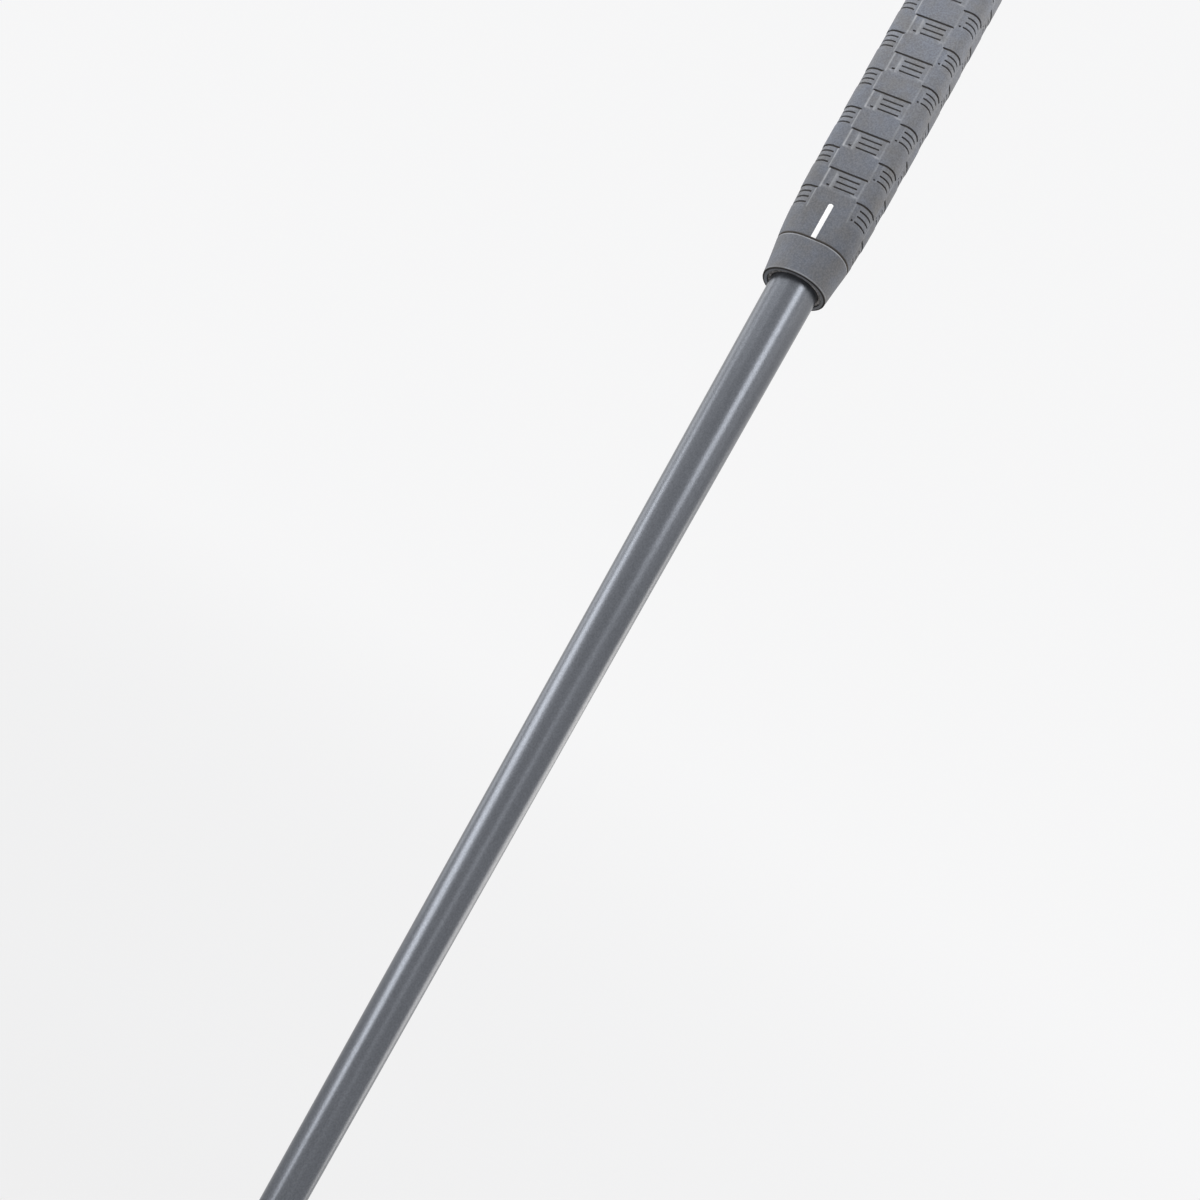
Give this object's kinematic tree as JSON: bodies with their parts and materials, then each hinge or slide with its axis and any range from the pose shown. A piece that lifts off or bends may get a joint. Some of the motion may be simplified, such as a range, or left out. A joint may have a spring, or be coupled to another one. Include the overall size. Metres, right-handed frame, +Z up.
{
  "type": "putter",
  "caption": "Blade putter with heel and toe weighting, an offset neck, a tapered shaft, a flat-fronted ribbed grip and screw-in sole weights.",
  "frame": {"origin": "middle of the sole, on the ground plane, halfway along the head and halfway through its depth", "axes": "+Z up; the striking face looks along -Y; toe at -X and heel at +X; the shaft leans towards +X at the lie angle of 70 degrees"},
  "size_m": [0.3906, 0.0455, 0.8148],
  "materials": {
    "head_steel": "satin, fine lengthwise grain",
    "insert_polymer": "matte with milled lines",
    "membrane_rubber": "matte",
    "screw_steel": "satin",
    "white_fill": "smooth paint fill",
    "neck_steel": "satin",
    "screw_black": "blackened",
    "weight_steel": "turned rings",
    "washer_rubber": "matte",
    "ferrule_plastic": "polished",
    "shaft_finish": "satin dark blue-grey coat",
    "plug_plastic": "matte",
    "tape_fabric": "crepe tape",
    "grip_rubber": "matte, fine grain",
    "band_rubber": "smooth, matte",
    "core_foam": "fine closed cells",
    "white_mark": "matte fill",
    "cap_rubber": "matte"
  },
  "bodies": {
    "club": {"head_body": "head_steel", "face_insert": "insert_polymer", "insert_membrane": "membrane_rubber", "insert_screws": "screw_steel", "sight_line": "white_fill", "neck": "neck_steel", "neck_screws": "screw_black", "ferrule": "ferrule_plastic", "shaft": "shaft_finish", "tip_plug": "plug_plastic", "grip_tape": "tape_fabric", "grip_skin": "grip_rubber", "grip_band": "band_rubber", "grip_core": "core_foam", "grip_mark": "white_mark", "butt_cap": "cap_rubber"},
    "heel_washer": {"heel_weight_washer": "washer_rubber"},
    "heel_weight": {"heel_weight": "weight_steel"},
    "toe_washer": {"toe_weight_washer": "washer_rubber"},
    "toe_weight": {"toe_weight": "weight_steel"}
  },
  "joints": [
    {"name": "heel_weight_draw", "type": "slide", "parent": "club", "child": "heel_washer", "axis": [0, 0, -1], "range_m": [0, 0.0081]},
    {"name": "heel_weight_turn", "type": "hinge", "parent": "heel_washer", "child": "heel_weight", "pos_m": [0.045, 0.0012, 0], "axis": [0, 0, -1], "range_deg": [0, 2304]},
    {"name": "toe_weight_draw", "type": "slide", "parent": "club", "child": "toe_washer", "axis": [0, 0, -1], "range_m": [0, 0.0081]},
    {"name": "toe_weight_turn", "type": "hinge", "parent": "toe_washer", "child": "toe_weight", "pos_m": [-0.045, 0.0012, 0], "axis": [0, 0, -1], "range_deg": [0, 2304]}
  ],
  "couplings": [
    {"joint": "heel_weight_draw", "follows": "heel_weight_turn", "m_per_rad": 0.00019894},
    {"joint": "toe_weight_draw", "follows": "toe_weight_turn", "m_per_rad": 0.00019894}
  ]
}
